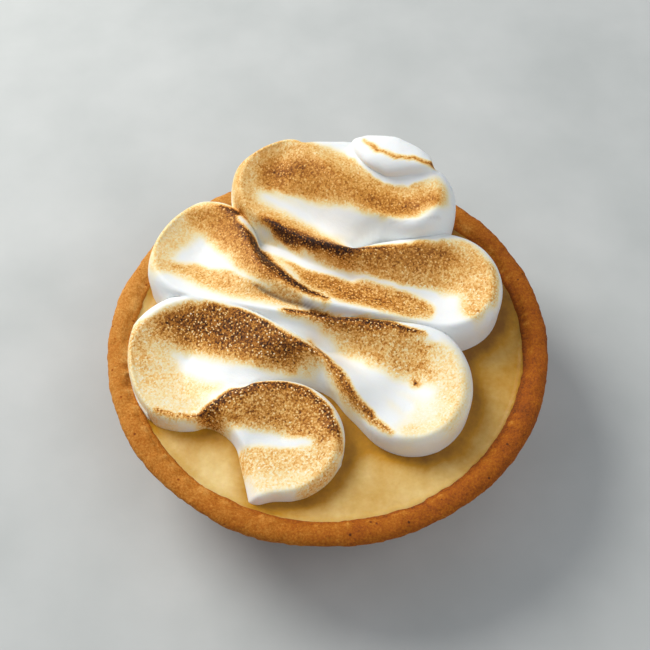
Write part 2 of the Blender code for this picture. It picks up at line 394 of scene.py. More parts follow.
def section_height(crest, dished, depth, reach, distance):
    """Height of the ribbon's surface at a distance from its crest, below zero past its foot."""
    part = np.clip(distance / DISH_REACH, 0, 1)
    past = np.maximum(distance - DISH_REACH, 0) / DISH_EDGE
    dish = depth * (1 - (1 - part) ** DISH_POWER) + past**2
    power = CREST_POWER + (WALL_POWER - CREST_POWER) * np.abs(2 * dished - 1)
    steep = np.maximum(1 - dished, LEAST_STEEP)
    wall = np.minimum(distance / reach * steep, WALL_DROP) ** power
    return crest * (1 - dished * dish - wall)


def limb_surface(x, y, route, start, end, start_reach=END_REACH, last_reach=END_REACH):
    """The limb from one place on the route to another, over each point, in columns: height,
    distance to the left of the crest, how steep it is, and the way it bulges."""
    limb = route[start : end + 1]
    nearest = np.empty(len(x), int)
    for rows in np.array_split(np.arange(len(x)), BATCHES):
        squared = (x[rows, None] - limb[:, 0]) ** 2 + (y[rows, None] - limb[:, 1]) ** 2
        nearest[rows] = np.argmin(squared, axis=1)
    away_x = x - limb[nearest, 0]
    away_y = y - limb[nearest, 1]
    along = np.gradient(route[:, :2], axis=0)[nearest + start]
    along /= np.hypot(*along.T)[:, None]
    leftward = along[:, 0] * away_y - along[:, 1] * away_x
    forward = along[:, 0] * away_x + along[:, 1] * away_y
    _, _, crest, left, right, depth, reach = limb[nearest].T
    on_left = leftward > 0
    dished = np.where(on_left, left, right)
    outward = np.stack([-along[:, 1], along[:, 0]], 1) * np.where(on_left, 1, -1)[:, None]
    reach = reach * (1 + BACKWARD_LEAN * outward[:, 1])
    height = section_height(crest, dished, depth, reach, np.abs(leftward))
    beyond = np.where(nearest == 0, -forward, np.where(nearest == end - start, forward, 0))
    end_reach = np.where(dished > 0.5, DISH_SEAM, SEAM)
    end_reach = np.where(nearest + start == len(route) - 1, last_reach, end_reach)
    end_reach = np.where(nearest + start == 0, start_reach, end_reach)
    height -= crest * (np.maximum(beyond, 0) / end_reach) ** 2
    part = np.minimum(np.abs(leftward) / reach, UNDERCUT_REACH)
    bulged = np.sin(np.radians(UNDERCUT_ANGLE) * part)
    bulge = reach * (bulged - part) * ease(1 - dished, UNDERCUT_FROM, 1) * (1 - ease(beyond, 0, 1))
    return np.column_stack([height, leftward, 1 - dished, outward * bulge[:, None]])


def ribbon_surface(x, y):
    """The whole meringue over each point, in the same columns, with the height over the curd.
    Then how far it stands over the limb next to it."""
    route = crest_route()
    cuts = limb_ends(route)
    limbs = [
        limb_surface(x, y, route, start, end, START_REACH, TAIL_REACH)
        for start, end in zip(cuts, cuts[1:])
    ]
    fold = smooth_route(np.array(FOLD, float), FOLD_SMOOTHING)
    limbs.append(limb_surface(x, y, fold, 0, len(fold) - 1))
    best = np.zeros((len(x), 5))
    off_bed = np.hypot((x - BED_X) / BED_RADIUS, (y - BED_Y) / BED_RADIUS)
    best[:, 0] = BED_HEIGHT - (BED_HEIGHT + BELOW_CURD + 1) * np.minimum(off_bed, 1) ** BED_POWER
    margin = np.full(len(x), ALONE)
    for limb in limbs:
        higher = limb[:, 0] > best[:, 0]
        gap = np.abs(best[:, 0] - limb[:, 0])
        fill = np.maximum(CREASE_FILL - gap, 0) ** 2 / (4 * CREASE_FILL)
        margin = np.where(higher, gap, np.minimum(margin, gap))
        best = np.where(higher[:, None], limb, best)
        best[:, 0] += fill
    best[:, 0] -= OUTER_DROP * np.maximum(np.hypot(x, y) - OUTER_RADIUS, 0) ** 2
    return best, margin


def smoothed(values, passes):
    """Values over the square grid, with each averaged with those beside it."""
    field = values.reshape(FIELD_STEPS + 1, FIELD_STEPS + 1, -1)
    for _ in range(passes):
        for axis in (0, 1):
            field = (np.roll(field, 1, axis) + 2 * field + np.roll(field, -1, axis)) / 4
    return field.reshape(values.shape)


def meringue_surface():
    """The meringue's grid of corners in millimetres, which of them are used, and the ribbon's
    columns at each."""
    line = np.linspace(-FIELD_SIZE / 2, FIELD_SIZE / 2, FIELD_STEPS + 1)
    grid_x, grid_y = (grid.ravel() for grid in np.meshgrid(line, line))
    ribbon, margin = ribbon_surface(grid_x, grid_y)
    passes = round(SMOOTHED_AREA / CELL**2)
    height = smoothed(np.maximum(ribbon[:, 0], -BELOW_CURD - 1), passes)
    settled = smoothed(height, round(SETTLED_AREA / CELL**2))
    calm = ease(np.abs(ribbon[:, 1]), *CALM_FROM_CREST) * ease(1 - ribbon[:, 2], *CALM_DISHED)
    calm *= ease(settled, *CALM_OVER_CURD) * ease(-np.hypot(grid_x, grid_y), *CALM_WITHIN_EDGE)
    calm = smoothed(calm, passes * CALM_PASSES)
    height = height + (settled - height) * calm
    bulge = ribbon[:, 3:] * ease(margin, 0, UNDERCUT_FULL)[:, None]
    bulge = smoothed(bulge, passes + 1)
    height = height + unevenness(np.stack([grid_x, grid_y, height], 1), SWELL_LAYERS)
    points = np.stack([grid_x + bulge[:, 0], grid_y + bulge[:, 1], CURD_TOP + height], 1)
    radius = np.hypot(points[:, 0], points[:, 1])
    nearer = np.where(radius > LEAN_RADIUS, LEAN_RADIUS + LEAN * (radius - LEAN_RADIUS), radius)
    points[:, :2] *= (nearer / np.maximum(radius, 1))[:, None]
    kept = height > -BELOW_CURD
    over_rim = (nearer > REST_RADIUS) & kept
    resting = np.maximum(points[:, 2], SHELL_HEIGHT + REST_GAP)
    points[:, 2] = np.where(over_rim, resting, points[:, 2])
    return points, kept, ribbon


def grid_faces(rows, columns, wrap=False):
    """Four-cornered faces of a grid of corners, joined round if wrapped."""
    row = np.arange(rows - 1)[:, None]
    column = np.arange(columns if wrap else columns - 1)[None, :]
    after = (column + 1) % columns
    first = row * columns + column
    second = row * columns + after
    third = (row + 1) * columns + after
    fourth = (row + 1) * columns + column
    return np.stack([first, second, third, fourth], -1).reshape(-1, 4)


def add_mesh(name, points, faces, attributes, material, node):
    """A smooth mesh from corners in millimetres, standing for one CAD node."""
    used = np.unique(faces)
    renumber = np.zeros(len(points), int)
    renumber[used] = np.arange(len(used))
    mesh = bpy.data.meshes.new(name)
    mesh.from_pydata((points[used] * MM).tolist(), [], renumber[faces].tolist())
    mesh.shade_smooth()
    for label, values in attributes.items():
        layer = mesh.attributes.new(label, "FLOAT", "POINT")
        layer.data.foreach_set("value", values[used].astype(np.float32))
    mesh.materials.append(material)
    item = bpy.data.objects.new(name, mesh)
    bpy.context.scene.collection.objects.link(item)
    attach(item, "root")
    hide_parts(node)
    return item


# ---- Materials ----


class Looks:
    """Builds one material's nodes."""

    def __init__(self, name):
        self.material = bpy.data.materials.new(name)
        self.material.use_nodes = True
        self.tree = self.material.node_tree
        self.shader = self.tree.nodes["Principled BSDF"]
        self.coordinates = self.tree.nodes.new("ShaderNodeTexCoord").outputs["Object"]

    def link(self, output, socket):
        self.tree.links.new(output, socket)

    def value(self, source, socket):
        """Links an output to a socket, or sets a plain number on it."""
        if isinstance(source, bpy.types.NodeSocket):
            self.link(source, socket)
        else:
            socket.default_value = source

    def attribute(self, name):
        node = self.tree.nodes.new("ShaderNodeAttribute")
        node.attribute_name = name
        return node.outputs["Fac"]

    def noise(self, size, detail=2, roughness=0.5):
        """Noise with features about as large as a size in millimetres."""
        node = self.tree.nodes.new("ShaderNodeTexNoise")
        node.inputs["Scale"].default_value = 1 / (size * MM)
        node.inputs["Detail"].default_value = detail
        node.inputs["Roughness"].default_value = roughness
        self.link(self.coordinates, node.inputs["Vector"])
        return node.outputs["Fac"]

    def cells(self, size, output="Distance"):
        """Distance to the nearest of scattered points that are about a size apart, or the
        steady random colour of each."""
        node = self.tree.nodes.new("ShaderNodeTexVoronoi")
        node.inputs["Scale"].default_value = 1 / (size * MM)
        self.link(self.coordinates, node.inputs["Vector"])
        return node.outputs[output]

    def maths(self, operation, first, second=0.0, clamp=False):
        node = self.tree.nodes.new("ShaderNodeMath")
        node.operation = operation
        node.use_clamp = clamp
        self.value(first, node.inputs[0])
        self.value(second, node.inputs[1])
        return node.outputs[0]

    def swing(self, source, strength):
        """An output from 0 to 1 made to swing about 0, with a strength."""
        return self.maths("MULTIPLY", self.maths("SUBTRACT", source, 0.5), strength)

    def spread(self, source, low, high, to_low=0.0, to_high=1.0):
        """Maps a range to another, clamped."""
        node = self.tree.nodes.new("ShaderNodeMapRange")
        node.interpolation_type = "SMOOTHSTEP"
        self.link(source, node.inputs["Value"])
        for label, number in zip(
            ("From Min", "From Max", "To Min", "To Max"), (low, high, to_low, to_high)
        ):
            node.inputs[label].default_value = number
        return node.outputs["Result"]

    def ramp(self, source, stops):
        """Colours along a range, from (position, web colour) stops."""
        node = self.tree.nodes.new("ShaderNodeValToRGB")
        elements = node.color_ramp.elements
        while len(elements) < len(stops):
            elements.new(0.5)
        for element, (position, colour) in zip(elements, stops):
            element.position = position
            element.color = web(colour)
        self.link(source, node.inputs["Fac"])
        return node.outputs["Color"]

    def tint(self, share, source, colour):
        """A colour output with a share of a plain web colour mixed in."""
        node = self.tree.nodes.new("ShaderNodeMix")
        node.data_type = "RGBA"
        node.blend_type = "MIX"
        self.link(share, node.inputs["Factor"])
        first, second = (s for s in node.inputs if s.type == "RGBA")
        self.link(source, first)
        second.default_value = web(colour)
        return next(s for s in node.outputs if s.type == "RGBA")

    def bump(self, height, distance, strength=1.0, under=None):
        node = self.tree.nodes.new("ShaderNodeBump")
        node.inputs["Distance"].default_value = distance * MM
        node.inputs["Strength"].default_value = strength
        self.link(height, node.inputs["Height"])
        if under is not None:
            self.link(under, node.inputs["Normal"])
        return node.outputs["Normal"]

    def finish(self, colour, roughness, normal, scatter=0.0, depth=(1, 1, 1), sheen=0.5):
        shader = self.shader.inputs
        self.link(colour, shader["Base Color"])
        self.value(roughness, shader["Roughness"])
        self.link(normal, shader["Normal"])
        shader["Specular IOR Level"].default_value = sheen
        shader["Subsurface Weight"].default_value = scatter
        shader["Subsurface Radius"].default_value = depth
        shader["Subsurface Scale"].default_value = MM
        return self.material


def web(colour):
    """Linear colour and alpha from a web colour."""
    parts = [int(colour[i : i + 2], 16) / 255 for i in (1, 3, 5)]
    return (*[p / 12.92 if p <= 0.04045 else ((p + 0.055) / 1.055) ** 2.4 for p in parts], 1)


def meringue_material():
    look = Looks("torched_meringue")
    toast = look.attribute("toast")
    coarse = look.attribute("coarse")
    # Toasting breaks up into speckles, granules and larger blotches, and fades out to white.
    speckle = look.noise(0.36, 3, 0.75)
    granules = look.swing(look.cells(0.32, "Color"), 0.36)
    grain = look.maths("ADD", look.swing(speckle, 0.8), granules)
    grain = look.maths("MULTIPLY", grain, coarse)
    uneven = look.maths("ADD", grain, look.swing(look.noise(2.6, 3, 0.6), 0.3))
    faded = look.spread(toast, 0.0, 0.45)
    burnt = look.maths("ADD", toast, look.maths("MULTIPLY", uneven, faded))
    # Bubbles stay golden in the darkest parts.
    bubbles = look.spread(look.cells(0.55), 0.16, 0.36, 1, 0)
    golden = look.maths("MULTIPLY", bubbles, look.spread(toast, 0.4, 0.85, 0, 0.5))
    golden = look.maths("MULTIPLY", golden, coarse)
    burnt = look.maths("SUBTRACT", burnt, golden, clamp=True)
    colour = look.ramp(burnt, MERINGUE_COLOURS)
    # Painted shade darkens the creases of folds.
    colour = look.tint(look.attribute("crease_shade"), colour, CREASE_SHADE_COLOUR)
    rough = look.spread(burnt, 0.1, 0.7, 0.5, 0.62)
    soft = look.bump(look.noise(2.4, 2), 0.25, 0.3)
    normal = look.bump(speckle, 0.12, 0.5, soft)
    return look.finish(colour, rough, normal, scatter=0.3, depth=MERINGUE_DEPTH, sheen=0.25)


def crust_material():
    look = Looks("baked_crust")
    grain = look.noise(0.4, 4, 0.8)
    uneven = look.maths("ADD", look.swing(grain, 1.1), look.swing(look.noise(5, 4, 0.6), 0.5))
    pits = look.spread(look.cells(2.4), 0.05, 0.13, 0.4, 0)
    # The shell's bake attribute also holds painted shade on the right and on the inner wall.
    tone = look.maths("ADD", look.maths("ADD", uneven, look.attribute("bake_and_shade")), pits)
    colour = look.ramp(tone, CRUST_COLOURS)
    coarse = look.bump(look.noise(1.0, 3, 0.6), 0.22, 0.7)
    normal = look.bump(grain, 0.2, 1.0, coarse)
    return look.finish(colour, 0.75, normal, scatter=0.06, depth=CRUST_DEPTH, sheen=0.25)


def curd_material():
    look = Looks("lemon_curd")
    streaks = look.swing(look.noise(5, 4, 0.6), 0.45)
    flecks = look.swing(look.noise(1.3, 4, 0.7), 0.2)
    # The curd's tone attribute also holds painted shadow from the meringue and painted shade on the
    # right.
    tone = look.maths("ADD", look.maths("ADD", streaks, flecks), look.attribute("tone_and_shadow"))
    colour = look.ramp(tone, CURD_COLOURS)
    normal = look.bump(look.noise(1.6, 3), 0.16, 0.5)
    return look.finish(colour, 0.33, normal, scatter=0.4, depth=CURD_DEPTH)


def floor_material():
    look = Looks("pale_floor")
    colour = look.ramp(look.noise(25, 4), FLOOR_COLOURS)
    normal = look.bump(look.noise(1.5, 3), 0.05, 0.3)
    return look.finish(colour, 0.7, normal)


# ---- Pieces ----


def turned(radius, height, count):
    """Corners of a section turned round the upright axis, and the way out from it at each."""
    angles = np.arange(count) * 2 * math.pi / count
    ring = np.stack([np.cos(angles), np.sin(angles), np.zeros(count)], 1)
    points = radius[:, None, None] * ring + height[:, None, None] * np.array([0, 0, 1])
    return points.reshape(-1, 3), np.tile(ring, (len(radius), 1))


def crust_profile():
    """Radius and height along the shell's section, from the middle of its floor, up the inside
    and over the rim, then down the outside to the middle of its base."""
    floor_edge = BASE_RADIUS - RIM_WIDTH + WALL_SLOPE * BASE_THICKNESS
    inner_edge = RIM_RADIUS - RIM_WIDTH - WALL_SLOPE * INNER_EDGE_DROP
    corners = [(0, BASE_THICKNESS), (floor_edge, BASE_THICKNESS)]
    corners.append((inner_edge, SHELL_HEIGHT - INNER_EDGE_DROP))
    for angle in range(*RIM_TURN):
        turn = math.radians(angle)
        out = RIM_RADIUS - RIM_ACROSS + RIM_ACROSS * math.cos(turn)
        corners.append((out, SHELL_HEIGHT - RIM_UP + RIM_UP * math.sin(turn)))
    corners += [(BASE_RADIUS + out, height) for out, height in FOOT_CORNERS]
    corners.append((0, 0))
    return np.array(corners)


def make_crust():
    """The pastry shell, with an uneven surface and small crumbs along its inner edge."""
    corners = crust_profile()
    lengths = np.concatenate([[0], np.cumsum(np.hypot(*np.diff(corners, axis=0).T))])
    wall, rim, foot, end = lengths[1], lengths[2], lengths[-4], lengths[-1]
    stretches = ((0, wall, 5), (wall, rim, 39), (rim, foot, CRUST_ROWS - 1), (foot, end, 9))
    places = [np.linspace(low, high, rows, endpoint=False) for low, high, rows in stretches]
    places = np.concatenate([*places, [end]])
    radius = np.interp(places, lengths, corners[:, 0])
    height = np.interp(places, lengths, corners[:, 1])
    points, around = turned(radius, height, CRUST_TURNS)
    rim_points = around * RIM_RADIUS

    rise = np.repeat(np.gradient(radius, places), CRUST_TURNS)[:, None] * np.array([0, 0, 1])
    outward = rise - np.repeat(np.gradient(height, places), CRUST_TURNS)[:, None] * around
    outward /= np.maximum(np.linalg.norm(outward, axis=1), 1e-6)[:, None]
    seen = ease(places - wall, 0, UNEVEN_FROM) * (1 - ease(places, foot, end))
    uneven = unevenness(points, SHELL_LAYERS) * np.repeat(seen, CRUST_TURNS)
    points += outward * uneven[:, None]

    radial = np.hypot(points[:, 0], points[:, 1])
    near_edge = np.exp(-(((radial - CRUMB_PLACE) / CRUMB_SPREAD) ** 2))
    near_edge *= ease(points[:, 2] - SHELL_HEIGHT, *CRUMB_BAND)
    crumbs = np.maximum(noise(rim_points, CRUMB_SIZE, CRUMB_SEED), 0) * near_edge
    points -= around * (CRUMB_DEPTH * crumbs)[:, None]
    points[:, 2] += unevenness(rim_points, RIM_WAVE) * ease(points[:, 2], WAVE_FROM, SHELL_HEIGHT)

    # The shell is darker low down.
    low = 1 - ease(points[:, 2], *LOW_BETWEEN)
    # Painted shade on the inner wall below the rim.
    inner_wall_shade = np.repeat(1 - ease(places, rim, rim + 1), CRUST_TURNS)
    # Painted shade: the shell is darker to the right and front, on the side turned from the light.
    rightward_shade = (2 * points[:, 0] - points[:, 1]) / (2 * RIM_RADIUS)
    bake_and_shade = BAKED + CRUST_SHADE_TO_RIGHT * rightward_shade + DARKER_LOW * low + CRUST_SHADE_INSIDE * inner_wall_shade
    bake_and_shade -= BAKED_CRUMBS * crumbs
    points[:, 2] = np.maximum(points[:, 2], 0)
    faces = grid_faces(len(places), CRUST_TURNS, wrap=True)
    look = crust_material()
    return add_mesh("crust_look", points, faces, {"bake_and_shade": bake_and_shade}, look, "crust")


def make_curd(foot):
    """The curd, darker with the painted shadow that the meringue casts round its foot, and with
    painted shade to the right.
    """
    top_radius = BASE_RADIUS - RIM_WIDTH + WALL_SLOPE * CURD_TOP + CURD_REACH
    floor = BASE_THICKNESS - CURD_FLOOR_SINK
    floor_radius = BASE_RADIUS - RIM_WIDTH + WALL_SLOPE * floor + CURD_FLOOR_REACH
    rings = top_radius * np.linspace(0.02, 1, CURD_ROWS)
    radius = np.concatenate([[CURD_MIDDLE], rings, [floor_radius, CURD_MIDDLE]])
    height = np.concatenate([np.full(CURD_ROWS + 1, float(CURD_TOP)), [floor, floor]])
    points, _ = turned(radius, height, CURD_TURNS)
    radial = np.hypot(points[:, 0], points[:, 1])
    on_top = points[:, 2] > CURD_TOP - 1
    edge = ease(radial - top_radius, *CURD_EDGE)
    points[:, 2] += (unevenness(points, CURD_LAYERS) + CURD_CLIMB * edge**2) * on_top

    # Painted shadow cast by the meringue: its blurred footprint, shifted to the right and front.
    line = (points[:, :2] + (-SHADOW_SHIFT, SHADOW_SHIFT)) / FIELD_SIZE + 0.5
    corner = np.clip(np.round(line * FIELD_STEPS), 0, FIELD_STEPS).astype(int)
    cast_shadow = foot[corner[:, 1] * (FIELD_STEPS + 1) + corner[:, 0]]
    tone_and_shadow = DEEP + unevenness(points, DEEP_LAYERS) + DEEP_EDGE * edge
    tone_and_shadow += CURD_CAST_SHADOW * ease(cast_shadow, *SHADOW_BETWEEN)
    # Painted shade: the curd is darker towards the right.
    tone_and_shadow += CURD_SHADE_TO_RIGHT * ease(points[:, 0], *CURD_SHADE_BETWEEN)
    faces = grid_faces(len(radius), CURD_TURNS, wrap=True)[:, ::-1]
    return add_mesh("curd_look", points, faces, {"tone_and_shadow": tone_and_shadow}, curd_material(), "curd")


# ---- Toasting ----


def stroke(points, spine, soft_left, soft_right):
    """How far a brush stroke covers each point, from 0 to 1. The stroke has x, y and a radius
    at each place along it, and its own softness on its left and right."""
    nearest = np.full(len(points), 1e9)
    left = np.zeros(len(points), bool)
    for (x, y, radius), (end_x, end_y, end_radius) in zip(spine, spine[1:]):
        way = np.array([end_x - x, end_y - y])
        away = points[:, :2] - (x, y)
        part = np.clip(away @ way / (way @ way), 0, 1)
        off = away - part[:, None] * way
        distance = np.hypot(*off.T) - (radius + (end_radius - radius) * part)
        nearer = distance < nearest
        nearest = np.where(nearer, distance, nearest)
        left = np.where(nearer, way[0] * off[:, 1] - way[1] * off[:, 0] > 0, left)
    soft = np.where(left, soft_left, soft_right)
    return 1 - ease(nearest / soft, -0.5, 0.5)


def toasting(points, ribbon):
    """How toasted each corner is, from 0 for white to 1 for burnt."""
    wander = np.stack([unevenness(points, layers) for layers in WANDER_LAYERS], 1)
    moved = points[:, :2] + wander
    toast = np.zeros(len(points))
    for strength, soft_left, soft_right, spine in TOAST_STROKES:
        toast += (strength - toast) * stroke(moved, spine, soft_left, soft_right)
    past = np.abs(ribbon[:, 1] + WANDER_AT_CREST * wander[:, 0])
    toast *= 1 - ease(ribbon[:, 2], *UNTOASTED_STEEP) * ease(past, *UNTOASTED_PAST)
    return toast


def crease_shading(points):
    """How much painted shade each corner gets in a fold's crease, from 0 to 1."""
    crease_shade = np.zeros(len(points))
    for strength, soft_left, soft_right, spine in CREASE_SHADE_STROKES:
        cover = strength * stroke(points[:, :2], spine, soft_left, soft_right)
        crease_shade = np.maximum(crease_shade, cover)
    return crease_shade


